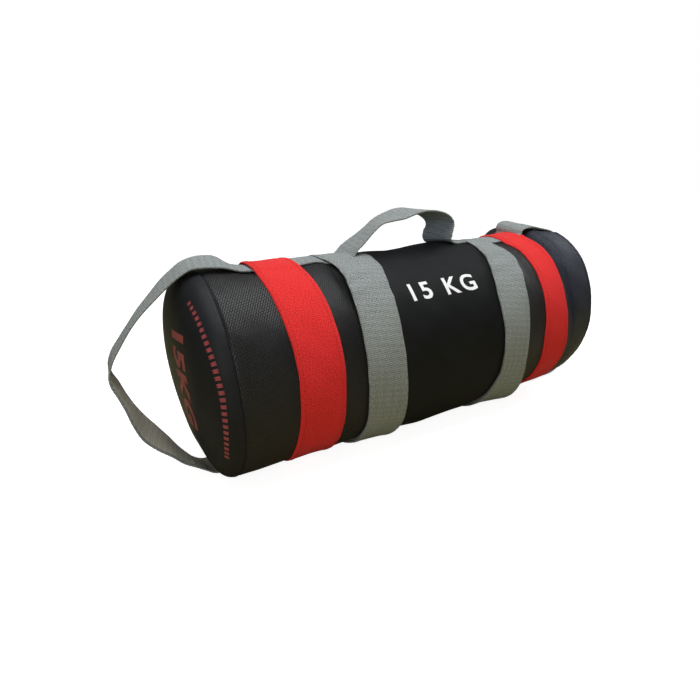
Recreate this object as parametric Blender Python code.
"""A sandbag trainer: a stuffed vinyl roll with webbing bands, a carry handle and a loop at each end.

Metres, +Z up. X runs along the bag, -Y is its front, and the origin is on the floor under its middle.
"""

import math

import bmesh
import bpy
from mathutils import Vector

# Vinyl skin
BAG_RADIUS = 0.115
SHELL_WALL = 0.0015
REST_HALF_ANGLE = math.radians(15)
GAP = 0.0003

# Bands round the bag, and their places along it
CENTRE_LENGTH = 0.140
GREY_WIDTH = 0.050
GREY_THICKNESS = 0.0044
BAND_SPACE = 0.028
RED_WIDTH = 0.050
RED_THICKNESS = 0.0016
LEFT_END_LENGTH = 0.059
RIGHT_END_LENGTH = 0.042

# End panels, which bulge furthest above the middle
LEFT_BULGE = 0.037
RIGHT_BULGE = 0.024
BULGE_LEAN_SHARE = 0.27
BULGE_POWER = 2.5
BULGE_RINGS = 6

# Webbing of the handle, the loops and their sewn runs
WEB_WIDTH = 0.050
WEB_THICKNESS = 0.0022
WEB_COLUMN_SHARES = (-1.0, -0.6, 0.0, 0.6, 1.0)
WEB_SAMPLES = 3

# Carry handle
HANDLE_RISE = 0.037
HANDLE_LEFT_FOOT = 0.025
HANDLE_RIGHT_FOOT = 0.012
HANDLE_FLAT = 0.015
HANDLE_FADE = 0.030
HANDLE_TWIST = math.radians(22)

# End loops, each with room for a hand past the end panel
LOOP_ROOM = 0.064
LOOP_LIFT = 0.0117
LOOP_ROOT = 0.026
LOOP_FLAT = 0.078
LOOP_FADE = 0.050
LOOP_TWIST = math.radians(28)

# Padding, liner and fill
FOAM_THICKNESS = 0.025
FOAM_SLACK = 0.0008
LINER_WALL = 0.001
LINER_HALF_LENGTH = 0.200
NECK_RADIUS = 0.022
NECK_LENGTH = 0.020
NECK_ROOM = 0.005
SHOULDER_LENGTH = 0.015
TIE_WIDTH = 0.005
TIE_THICKNESS = 0.002

SIDES = 48
SIDE_ANGLE = math.tau / SIDES
SHARP_ANGLE = math.radians(35)

# Places along the bag and heights that follow from the sizes
GREY_INNER = CENTRE_LENGTH / 2
GREY_OUTER = GREY_INNER + GREY_WIDTH
RED_INNER = GREY_OUTER + BAND_SPACE
RED_OUTER = RED_INNER + RED_WIDTH
SEAM_LEFT = RED_OUTER + LEFT_END_LENGTH
SEAM_RIGHT = RED_OUTER + RIGHT_END_LENGTH
LOOP_REACH = LEFT_END_LENGTH + LEFT_BULGE + LOOP_ROOM
SHELL_BASE = GREY_THICKNESS + GAP
SHELL_DEPTH = BAG_RADIUS * math.cos(REST_HALF_ANGLE)
AXIS_Z = SHELL_BASE + SHELL_DEPTH
SHELL_TOP = AXIS_Z + BAG_RADIUS
WEB_STEP = WEB_THICKNESS + GAP
WEB_ON_SHELL = SHELL_TOP + GAP + WEB_THICKNESS / 2
WEB_ON_GREY = WEB_ON_SHELL + GREY_THICKNESS + GAP
WEB_BELOW = SHELL_BASE - GAP - WEB_THICKNESS / 2
SHELL_BEND = 1 / (WEB_ON_SHELL - AXIS_Z)
GREY_BEND = 1 / (WEB_ON_GREY - AXIS_Z)
WEB_HALF_ANGLE = WEB_WIDTH / 2 / BAG_RADIUS
HUMP_FLAT = WEB_HALF_ANGLE + SIDE_ANGLE / 2
HUMP_FOOT = HUMP_FLAT + SIDE_ANGLE

# The handle's line: shares of half the centre panel along X, and of the rise above the bands
HANDLE_LEFT_ROOT_SHARES = ((-1.0, 0.05), (-0.88, 0.19))
HANDLE_GRIP_SHARES = (
    (-0.62, 0.53),
    (-0.45, 0.73),
    (-0.24, 0.87),
    (0.03, 0.92),
    (0.30, 0.97),
    (0.54, 1.0),
    (0.78, 0.92),
    (0.93, 0.76),
    (0.975, 0.53),
)
HANDLE_RIGHT_ROOT_SHARES = ((0.955, 0.28), (0.97, 0.10))

# A loop's line: shares of its reach past the red band, and of its height
LOOP_LOW_SHARES = ((0.44, 0.0), (0.53, 0.02), (0.62, 0.068), (0.715, 0.135))
LOOP_TIP_SHARES = ((0.865, 0.27), (0.915, 0.35), (0.962, 0.435), (0.993, 0.52), (1.0, 0.60), (0.945, 0.68))
LOOP_HIGH_SHARES = ((0.865, 0.755), (0.69, 0.875), (0.555, 0.945), (0.41, 0.995), (0.27, 0.998))
LOOP_ROOT_TOP_SHARE = 0.975


def clear_scene():
    for obj in list(bpy.data.objects):
        bpy.data.objects.remove(obj, do_unlink=True)


def make_material(name, colour, roughness):
    material = bpy.data.materials.new(name)
    material.use_nodes = True
    shader = material.node_tree.nodes["Principled BSDF"]
    shader.inputs["Base Color"].default_value = (*colour, 1)
    shader.inputs["Roughness"].default_value = roughness
    shader.inputs["Metallic"].default_value = 0
    return material


def add_object(name, mesh_data, material, origin=(0, 0, 0)):
    """Puts a closed bmesh into the scene, with its origin at the place that it turns about."""
    bmesh.ops.recalc_face_normals(mesh_data, faces=mesh_data.faces)
    bmesh.ops.translate(mesh_data, verts=mesh_data.verts, vec=-Vector(origin))
    mesh = bpy.data.meshes.new(name)
    mesh_data.to_mesh(mesh)
    mesh_data.free()
    mesh.shade_smooth()
    mesh.set_sharp_from_angle(angle=SHARP_ANGLE)
    mesh.materials.append(material)
    obj = bpy.data.objects.new(name, mesh)
    obj.location = origin
    bpy.context.scene.collection.objects.link(obj)
    return obj


def smooth(share):
    share = min(max(share, 0), 1)
    return share * share * (3 - 2 * share)


# Round skins


def reach(angle, radius, depth):
    """Distance from the bag's axis to a round skin that is flat where the bag rests."""
    down = -math.sin(angle)
    return min(radius, depth / down) if down > 0 else radius


def hump(angle, middle):
    """1 where a band passes over webbing, falling to 0 beside it."""
    away = abs(math.remainder(angle - middle, math.tau))
    return min(max((HUMP_FOOT - away) / (HUMP_FOOT - HUMP_FLAT), 0), 1)


def ring_points(x, radius, depth, humps=(), lean=0):
    """One ring of a skin. A lean moves its upper half outwards along X."""
    points = []
    for side in range(SIDES):
        angle = side * SIDE_ANGLE
        raised = radius + WEB_STEP * max((hump(angle, middle) for middle in humps), default=0)
        distance = reach(angle, raised, depth)
        height = distance * math.sin(angle)
        points.append(Vector((x + lean * height / BAG_RADIUS, distance * math.cos(angle), AXIS_Z + height)))
    return points


def add_skin(name, rings, material, closed):
    """Bridges rings of points. One point alone is a pole, and a closed skin ends where it started."""
    shape = bmesh.new()
    loops = [[shape.verts.new(point) for point in ring] for ring in rings]
    pairs = list(zip(loops, loops[1:]))
    if closed:
        pairs.append((loops[-1], loops[0]))
    for first, second in pairs:
        for side in range(SIDES):
            after = (side + 1) % SIDES
            if len(first) == 1:
                shape.faces.new((first[0], second[side], second[after]))
            elif len(second) == 1:
                shape.faces.new((first[side], first[after], second[0]))
            else:
                shape.faces.new((first[side], first[after], second[after], second[side]))
    return add_object(name, shape, material)


def add_tube(name, x_low, x_high, outer, inner, material, humps=()):
    """A tube along X. outer and inner are each a radius and a depth to the flat underside."""
    rings = (
        ring_points(x_low, *outer, humps),
        ring_points(x_high, *outer, humps),
        ring_points(x_high, *inner, humps),
        ring_points(x_low, *inner, humps),
    )
    return add_skin(name, rings, material, closed=True)


def dome_rings(side, seam, radius, depth, bulge):
    """Rings of an end dome, from its seam to its pole, each with the lean of its own bulge."""
    rings = []
    for step in range(BULGE_RINGS):
        turn = math.pi / 2 * step / BULGE_RINGS
        ring_radius = radius * math.cos(turn) ** (2 / BULGE_POWER)
        out = bulge * math.sin(turn) ** (2 / BULGE_POWER)
        lean = side * out * BULGE_LEAN_SHARE
        rings.append(ring_points(side * (seam + out), ring_radius, depth, lean=lean))
    rings.append([Vector((side * (seam + bulge), 0, AXIS_Z))])
    return rings


def add_end_panel(name, side, seam, bulge, material):
    outside = dome_rings(side, seam + GAP, BAG_RADIUS, SHELL_DEPTH, bulge)
    inside = dome_rings(
        side, seam + GAP, BAG_RADIUS - SHELL_WALL, SHELL_DEPTH - SHELL_WALL, bulge - SHELL_WALL
    )
    return add_skin(name, outside[::-1] + inside, material, closed=False)


# Bands


def add_bands(materials):
    skin_radius = BAG_RADIUS + GAP
    skin_depth = SHELL_DEPTH + GAP
    top, below = math.pi / 2, -math.pi / 2
    red_depth = skin_depth + WEB_STEP
    for side, label in ((-1, "left"), (1, "right")):
        red = sorted((side * RED_INNER, side * RED_OUTER))
        grey = sorted((side * GREY_INNER, side * GREY_OUTER))
        add_tube(
            f"red_band_{label}",
            *red,
            (skin_radius + RED_THICKNESS, red_depth + RED_THICKNESS),
            (skin_radius, red_depth),
            materials["red"],
            humps=(top, below),
        )
        add_tube(
            f"grey_band_{label}",
            *grey,
            (skin_radius + GREY_THICKNESS, skin_depth + GREY_THICKNESS),
            (skin_radius, skin_depth),
            materials["webbing"],
        )


# Webbing


def smooth_route(points):
    """A smooth line through the points, with WEB_SAMPLES steps from each to the next."""
    knots = [Vector(point) for point in points]
    before = knots[0] * 2 - knots[1]
    after = knots[-1] * 2 - knots[-2]
    padded = [before, *knots, after]
    line = []
    for index in range(1, len(padded) - 2):
        a, b, c, d = padded[index - 1 : index + 3]
        for step in range(WEB_SAMPLES):
            t = step / WEB_SAMPLES
            square = 2 * a - 5 * b + 4 * c - d
            cube = 3 * b - a - 3 * c + d
            line.append((2 * b + (c - a) * t + square * t**2 + cube * t**3) / 2)
    line.append(knots[-1])
    return line


def directions_along(line):
    directions = []
    for index in range(len(line)):
        ahead = line[min(index + 1, len(line) - 1)]
        behind = line[max(index - 1, 0)]
        directions.append((ahead - behind).normalized())
    return directions


def lengths_along(line):
    run = [0]
    for first, second in zip(line, line[1:]):
        run.append(run[-1] + (second - first).length)
    return run


def web_section(centre, direction, twist, bend):
    """One cross-section of the strip: twisted about its run, and bent to a radius of 1 / bend."""
    outward = Vector((-direction.z, 0, direction.x))
    across = Vector((0, 1, 0)) * math.cos(twist) - outward * math.sin(twist)
    normal = outward * math.cos(twist) + Vector((0, 1, 0)) * math.sin(twist)
    faces = []
    for half in (WEB_THICKNESS / 2, -WEB_THICKNESS / 2):
        row = []
        for share in WEB_COLUMN_SHARES:
            along = share * WEB_WIDTH / 2
            angle = along * bend
            sideways = math.sin(angle) / bend if bend else along
            drop = (1 - math.cos(angle)) / bend if bend else 0
            tilted = normal * math.cos(angle) + across * math.sin(angle)
            row.append(centre + across * sideways - normal * drop + tilted * half)
        faces.append(row)
    return faces


def add_webbing(name, sections, material, origin=(0, 0, 0)):
    """A strip of webbing through its sections. Its ends stop half a gap short of the first and last."""
    shape = bmesh.new()
    rows = []
    for index, (centre, direction, twist, bend) in enumerate(sections):
        if index == 0:
            centre = centre + direction * GAP / 2
        elif index == len(sections) - 1:
            centre = centre - direction * GAP / 2
        outer, inner = web_section(centre, direction, twist, bend)
        rows.append([[shape.verts.new(point) for point in face] for face in (outer, inner)])
    columns = range(len(WEB_COLUMN_SHARES) - 1)
    for (outer, inner), (next_outer, next_inner) in zip(rows, rows[1:]):
        for column in columns:
            shape.faces.new((outer[column], outer[column + 1], next_outer[column + 1], next_outer[column]))
            shape.faces.new((inner[column], next_inner[column], next_inner[column + 1], inner[column + 1]))
        for edge in (0, -1):
            shape.faces.new((outer[edge], next_outer[edge], next_inner[edge], inner[edge]))
    for outer, inner in (rows[0], rows[-1]):
        for column in columns:
            shape.faces.new((outer[column], inner[column], inner[column + 1], outer[column + 1]))
    return add_object(name, shape, material, origin)


def sections_along(line, twists, bends):
    """Each section's centre, direction, twist about it and bend round the bag."""
    return list(zip(line, directions_along(line), twists, bends))


def add_straight_webbing(name, points, bends, material):
    line = [Vector(point) for point in points]
    return add_webbing(name, sections_along(line, [0] * len(line), bends), material)


def add_sewn_webbing(materials):
    """The runs that are sewn down: over the bag between handle and loops, and below it."""
    material = materials["webbing"]
    over_bends = [SHELL_BEND, SHELL_BEND, GREY_BEND, GREY_BEND]
    for side, label, foot in ((-1, "left", HANDLE_LEFT_FOOT), (1, "right", HANDLE_RIGHT_FOOT)):
        over = [
            (side * RED_OUTER, 0, WEB_ON_SHELL),
            (side * RED_INNER, 0, WEB_ON_SHELL),
            (side * (GREY_OUTER + GREY_THICKNESS), 0, WEB_ON_GREY),
            (side * (GREY_INNER + foot), 0, WEB_ON_GREY),
        ]
        below = [
            (side * RED_OUTER, 0, WEB_BELOW),
            (side * (GREY_OUTER + GREY_THICKNESS), 0, WEB_BELOW),
        ]
        add_straight_webbing(f"top_web_{label}", over[::-side], over_bends[::-side], material)
        add_straight_webbing(f"bottom_web_{label}", below[::side], [0, 0], material)


def handle_line():
    """The handle's line from its left foot to its right one, and where its grip starts and ends."""
    roots = (HANDLE_LEFT_ROOT_SHARES, HANDLE_RIGHT_ROOT_SHARES)
    shares = (*roots[0], *HANDLE_GRIP_SHARES, *roots[1])
    points = [(-(GREY_INNER + HANDLE_LEFT_FOOT), 0, WEB_ON_GREY)]
    points += [(along * GREY_INNER, 0, WEB_ON_GREY + up * HANDLE_RISE) for along, up in shares]
    points.append((GREY_INNER + HANDLE_RIGHT_FOOT, 0, WEB_ON_GREY))
    grip_start = (1 + len(roots[0])) * WEB_SAMPLES
    grip_end = grip_start + (len(HANDLE_GRIP_SHARES) - 1) * WEB_SAMPLES
    return smooth_route(points), grip_start, grip_end


def add_handle(materials):
    line, start, end = handle_line()
    run = lengths_along(line)
    twists = []
    bends = []
    for length in run:
        from_foot = min(length, run[-1] - length)
        share = length / run[-1]
        twists.append(HANDLE_TWIST * smooth((from_foot - HANDLE_FLAT) / HANDLE_FADE) * (1 + share) / 2)
        bends.append((1 - smooth(from_foot / HANDLE_FADE)) * GREY_BEND)
    sections = sections_along(line, twists, bends)
    for name, low, high in (
        ("handle_root_left", 0, start),
        ("top_handle", start, end),
        ("handle_root_right", end, len(line) - 1),
    ):
        add_webbing(name, sections[low : high + 1], materials["webbing"], (0, 0, WEB_ON_GREY))


def loop_line():
    """The left loop's line from its lower root, round its tip, to its upper root."""
    top = SHELL_TOP + LOOP_LIFT
    span = top - WEB_BELOW
    points = [(-RED_OUTER, 0, WEB_BELOW), (-(RED_OUTER + LOOP_ROOT), 0, WEB_BELOW)]
    for out, up in (*LOOP_LOW_SHARES, *LOOP_TIP_SHARES, *LOOP_HIGH_SHARES):
        points.append((-(RED_OUTER + out * LOOP_REACH), 0, WEB_BELOW + up * span))
    points.append((-(RED_OUTER + LOOP_ROOT), 0, WEB_BELOW + LOOP_ROOT_TOP_SHARE * span))
    points.append((-RED_OUTER, 0, WEB_ON_SHELL))
    return smooth_route(points)


def add_loops(materials):
    left = loop_line()
    run = lengths_along(left)
    twists = []
    bends = []
    for length in run:
        share = (length - LOOP_FLAT) / (run[-1] - LOOP_FLAT)
        twists.append(LOOP_TWIST * math.sin(math.pi * min(max(share, 0), 1)))
        bends.append((1 - smooth((run[-1] - length) / LOOP_FADE)) * SHELL_BEND)
    right = [Vector((-point.x, 0, point.z)) for point in reversed(left)]
    sections = {
        "left": sections_along(left, twists, bends),
        "right": sections_along(right, twists[::-1], bends[::-1])[::-1],
    }
    last = len(left) - 1
    pieces = (
        ("_root_bottom", 0, WEB_SAMPLES),
        ("", WEB_SAMPLES, last - WEB_SAMPLES),
        ("_root_top", last - WEB_SAMPLES, last),
    )
    for ending, low, high in pieces:
        for side, label in ((-1, "left"), (1, "right")):
            piece = sections[label][low : high + 1][::-side]
            origin = (side * RED_OUTER, 0, AXIS_Z)
            add_webbing(f"loop_{label}{ending}", piece, materials["webbing"], origin)


# Padding, liner and fill


def add_padding(materials):
    inside = BAG_RADIUS - SHELL_WALL - GAP
    inside_depth = SHELL_DEPTH - SHELL_WALL - GAP
    core = inside - FOAM_THICKNESS
    add_tube(
        "foam_sleeve", -SEAM_LEFT, SEAM_RIGHT, (inside, inside_depth), (core, core), materials["foam"]
    )
    for side, label, seam, bulge in (
        (-1, "left", SEAM_LEFT, LEFT_BULGE),
        (1, "right", SEAM_RIGHT, RIGHT_BULGE),
    ):
        start = LINER_HALF_LENGTH + NECK_ROOM
        plug = core - GAP
        rings = [
            [Vector((side * start, 0, AXIS_Z))],
            ring_points(side * start, plug, plug),
            ring_points(side * (seam + 2 * GAP), plug, plug),
        ]
        rings += dome_rings(
            side,
            seam + 2 * GAP,
            inside - FOAM_SLACK / 2,
            inside_depth - FOAM_SLACK / 2,
            bulge - SHELL_WALL - FOAM_SLACK,
        )
        add_skin(f"foam_end_{label}", rings, materials["foam"], closed=False)
    return core - GAP


def add_liner_and_fill(core, materials):
    """The liner is a sack with an open gathered neck at its right end, held by a tie."""
    bottom = -LINER_HALF_LENGTH
    mouth = LINER_HALF_LENGTH
    neck = mouth - NECK_LENGTH
    shoulder = neck - SHOULDER_LENGTH
    wall = LINER_WALL
    liner = (
        (bottom, 0),
        (bottom, core),
        (shoulder, core),
        (neck, NECK_RADIUS),
        (mouth, NECK_RADIUS),
        (mouth, NECK_RADIUS - wall),
        (neck - wall / 2, NECK_RADIUS - wall),
        (shoulder - wall / 2, core - wall),
        (bottom + wall, core - wall),
        (bottom + wall, 0),
    )
    sand_radius = core - wall - GAP
    sand_neck = NECK_RADIUS - wall - GAP
    sand = (
        (bottom + wall + GAP, 0),
        (bottom + wall + GAP, sand_radius),
        (shoulder - wall, sand_radius),
        (neck - wall, sand_neck),
        (neck - wall, 0),
    )
    for name, profile, material in (("liner_bag", liner, "liner"), ("sand_fill", sand, "sand")):
        rings = []
        for x, radius in profile:
            rings.append(ring_points(x, radius, radius) if radius else [Vector((x, 0, AXIS_Z))])
        add_skin(name, rings, materials[material], closed=False)
    tie_inner = NECK_RADIUS + GAP
    tie_outer = tie_inner + TIE_THICKNESS
    tie_start = neck + TIE_WIDTH
    add_tube(
        "liner_tie",
        tie_start,
        tie_start + TIE_WIDTH,
        (tie_outer, tie_outer),
        (tie_inner, tie_inner),
        materials["tie"],
    )


def add_shell(materials):
    add_tube(
        "outer_shell",
        -SEAM_LEFT,
        SEAM_RIGHT,
        (BAG_RADIUS, SHELL_DEPTH),
        (BAG_RADIUS - SHELL_WALL, SHELL_DEPTH - SHELL_WALL),
        materials["vinyl"],
    )
    add_end_panel("end_panel_left", -1, SEAM_LEFT, LEFT_BULGE, materials["vinyl_end"])
    add_end_panel("end_panel_right", 1, SEAM_RIGHT, RIGHT_BULGE, materials["vinyl_end"])


def main():
    clear_scene()
    materials = {
        "vinyl": make_material("black_vinyl", (0.016, 0.016, 0.018), 0.5),
        "vinyl_end": make_material("black_vinyl_end", (0.013, 0.013, 0.016), 0.45),
        "red": make_material("red_band", (0.66, 0.02, 0.025), 0.85),
        "webbing": make_material("grey_webbing", (0.2, 0.235, 0.235), 0.8),
        "foam": make_material("foam", (0.55, 0.55, 0.5), 0.95),
        "liner": make_material("liner", (0.6, 0.62, 0.6), 0.6),
        "sand": make_material("sand", (0.5, 0.38, 0.22), 0.95),
        "tie": make_material("tie", (0.03, 0.03, 0.03), 0.4),
    }
    add_shell(materials)
    add_bands(materials)
    add_sewn_webbing(materials)
    add_handle(materials)
    add_loops(materials)
    core = add_padding(materials)
    add_liner_and_fill(core, materials)


main()
